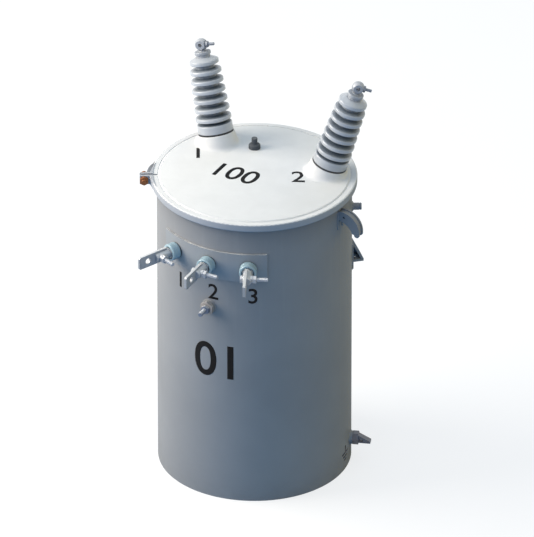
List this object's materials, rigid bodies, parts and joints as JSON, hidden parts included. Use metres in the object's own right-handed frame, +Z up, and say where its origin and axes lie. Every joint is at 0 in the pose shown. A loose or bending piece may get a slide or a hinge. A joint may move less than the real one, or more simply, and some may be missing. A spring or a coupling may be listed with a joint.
{
  "type": "distribution transformer",
  "caption": "Oil-filled single-phase pole transformer: round tank, clamped lid, leaning porcelain bushings, side terminals, lugs and hangers.",
  "frame": {"origin": "On the tank axis, on the floor that the lower edge of the tank wall stands on.", "axes": "+Z up; -Y is the side with the low-voltage terminals; +X is to the right seen from that side; the pole is on the +Y side."},
  "size_m": [0.535, 0.589, 0.9421],
  "materials": {
    "tank_paint": "glossy grey enamel",
    "lid_paint": "glossy light grey enamel",
    "band_paint": "glossy grey enamel",
    "gasket_rubber": "matt black rubber",
    "yellow_zinc": "dull orange-brown plated hardware",
    "dark_paint": "satin dark grey",
    "porcelain": "light grey glaze",
    "porcelain_cap": "dull grey cast metal",
    "tinned_bronze": "dull tin plating",
    "steel_bolt": "zinc-plated steel",
    "lv_glaze": "blue-green glaze",
    "bronze": "dull brown bronze"
  },
  "bodies": {
    "root": {"tank_wall": "tank_paint", "tank_floor": "tank_paint", "lid_gasket": "gasket_rubber", "lid": "lid_paint", "clamp_band": "band_paint", "clamp_bolt": "yellow_zinc", "clamp_nut": "yellow_zinc", "lid_plug": "dark_paint", "hv_gasket_left": "gasket_rubber", "hv_gasket_right": "gasket_rubber", "hv_bushing_left": "porcelain", "hv_bushing_right": "porcelain", "hv_cap_left": "porcelain_cap", "hv_cap_right": "porcelain_cap", "hv_terminal_left": "tinned_bronze", "hv_terminal_right": "tinned_bronze", "hv_eye_bolt_left": "steel_bolt", "hv_eye_bolt_right": "steel_bolt", "lv_panel": "tank_paint", "lv_gasket_1": "gasket_rubber", "lv_gasket_2": "gasket_rubber", "lv_gasket_3": "gasket_rubber", "lv_bushing_1": "lv_glaze", "lv_bushing_2": "lv_glaze", "lv_bushing_3": "lv_glaze", "lv_stud_1": "tinned_bronze", "lv_stud_2": "tinned_bronze", "lv_stud_3": "tinned_bronze", "lv_terminal_1": "tinned_bronze", "lv_terminal_2": "tinned_bronze", "lv_terminal_3": "tinned_bronze", "lv_bolt_1": "steel_bolt", "lv_bolt_2": "steel_bolt", "lv_bolt_3": "steel_bolt", "neutral_boss": "tank_paint", "neutral_clamp": "bronze", "lifting_lug_left": "tank_paint", "lifting_lug_right": "tank_paint", "relief_valve": "dark_paint", "arrester_bracket_left": "tank_paint", "arrester_bracket_right": "tank_paint", "hanger_upper": "tank_paint", "hanger_lower": "tank_paint", "earth_boss": "tank_paint", "earth_clamp": "bronze"}
  },
  "joints": []
}
